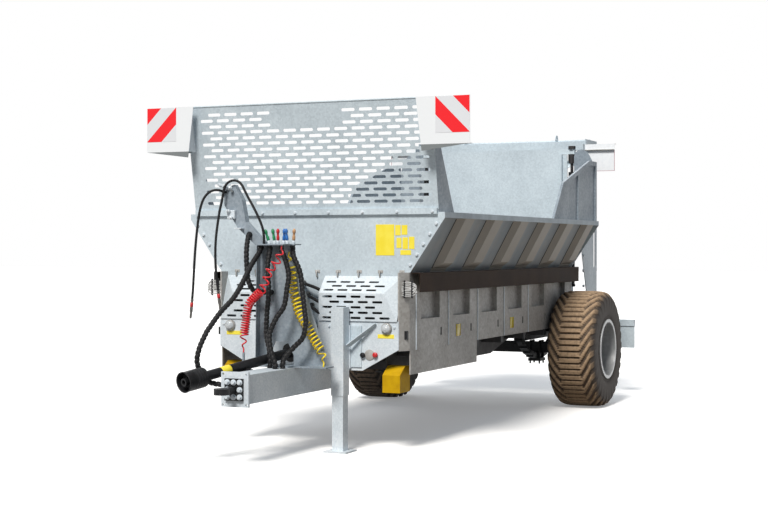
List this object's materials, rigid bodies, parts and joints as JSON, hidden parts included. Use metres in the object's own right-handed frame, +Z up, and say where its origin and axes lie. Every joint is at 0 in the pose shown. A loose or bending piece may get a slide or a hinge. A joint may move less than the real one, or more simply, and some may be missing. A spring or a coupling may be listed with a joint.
{
  "type": "manure spreader",
  "caption": "Single-axle manure spreader trailer with a flared ribbed hopper, slotted front screen, rising rear gate, upright beaters, floor conveyor and parking leg.",
  "frame": {"origin": "on the ground, under the middle of the whole length and width", "axes": "+X forwards to the hitch eye, +Y to the machine's left, +Z up"},
  "size_m": [6.9074, 2.874, 2.84],
  "materials": {
    "galvanised": "hot-dip galvanised, spangled, satin",
    "bright_zinc": "fresh bright zinc, satin",
    "black_sheet": "dark brown-black coated sheet, satin",
    "board_white": "white retroreflective sheet with red stripes",
    "lamp_clear": "clear lens over a white reflector",
    "lamp_red": "red lens",
    "chain_steel": "bare steel",
    "black_paint": "black chassis paint, satin",
    "rod_chrome": "ground and plated",
    "tyre_rubber": "dusty rubber",
    "rim_silver": "silver paint",
    "guard_plastic": "black plastic guard",
    "coupler_blue": "coloured plastic sleeves on plated couplers",
    "hose_rubber": "black hose with spiral wrap",
    "coil_red": "red coiled air line",
    "coil_yellow": "yellow coiled air line",
    "chock_yellow": "yellow moulded plastic"
  },
  "bodies": {
    "chassis": {"main_beams": "galvanised", "cross_members": "galvanised", "front_sills": "galvanised", "guard_left": "galvanised", "guard_right": "galvanised", "drawbar": "galvanised", "leg_sleeve": "galvanised", "floor_deck": "galvanised", "side_left": "galvanised", "side_right": "galvanised", "flare_left": "galvanised", "flare_right": "galvanised", "front_wall": "galvanised", "front_screen": "galvanised", "screen_returns": "galvanised", "wing_left": "galvanised", "wing_right": "galvanised", "rear_panels": "galvanised", "gate_guides": "galvanised", "adapter_sides": "galvanised", "adapter_top": "galvanised", "adapter_base": "galvanised", "adapter_tray": "galvanised", "lamp_bar": "galvanised", "hose_stand": "galvanised", "front_plates": "bright_zinc", "skirt_left": "black_sheet", "skirt_right": "black_sheet", "front_boards": "board_white", "rear_boards": "board_white", "front_lamps": "lamp_clear", "rear_lamps": "lamp_red", "floor_chain": "chain_steel", "conveyor_shafts": "chain_steel", "axle": "black_paint", "leaf_springs": "black_paint", "spring_clamps": "black_paint", "spring_hangers": "black_paint", "gate_cylinders": "black_paint", "drive_line": "black_paint", "hitch_eye": "black_paint", "cardan_shaft": "guard_plastic", "couplers": "coupler_blue", "hoses": "hose_rubber", "hose_hang_a": "hose_rubber", "hose_hang_b": "hose_rubber", "coil_red": "coil_red", "coil_yellow": "coil_yellow", "chocks": "chock_yellow"},
    "wheel_left": {"tyre_left": "tyre_rubber", "rim_left": "rim_silver", "hub_left": "black_paint"},
    "wheel_right": {"tyre_right": "tyre_rubber", "rim_right": "rim_silver", "hub_right": "black_paint"},
    "leg": {"leg_tube": "galvanised"},
    "gate": {"tailgate": "galvanised", "gate_rods": "rod_chrome"},
    "beater_left": {"beater_left": "galvanised"},
    "beater_right": {"beater_right": "galvanised"}
  },
  "joints": [
    {"name": "wheel_left_spin", "type": "hinge", "parent": "chassis", "child": "wheel_left", "pos_m": [-2.05375, 1.12, 0.586], "axis": [0, 1, 0], "continuous": true},
    {"name": "wheel_right_spin", "type": "hinge", "parent": "chassis", "child": "wheel_right", "pos_m": [-2.05375, -1.12, 0.586], "axis": [0, 1, 0], "continuous": true},
    {"name": "leg_slide", "type": "slide", "parent": "chassis", "child": "leg", "axis": [0, 0, 1], "range_m": [0, 0.4]},
    {"name": "gate_slide", "type": "slide", "parent": "chassis", "child": "gate", "axis": [0, 0, 1], "range_m": [0, 0.9]},
    {"name": "beater_left_spin", "type": "hinge", "parent": "chassis", "child": "beater_left", "pos_m": [-2.97375, 0.4, 1.5], "axis": [0, 0, 1], "continuous": true},
    {"name": "beater_right_spin", "type": "hinge", "parent": "chassis", "child": "beater_right", "pos_m": [-2.97375, -0.4, 1.5], "axis": [0, 0, 1], "continuous": true}
  ],
  "couplings": [
    {"joint": "beater_right_spin", "follows": "beater_left_spin", "ratio": -1}
  ]
}
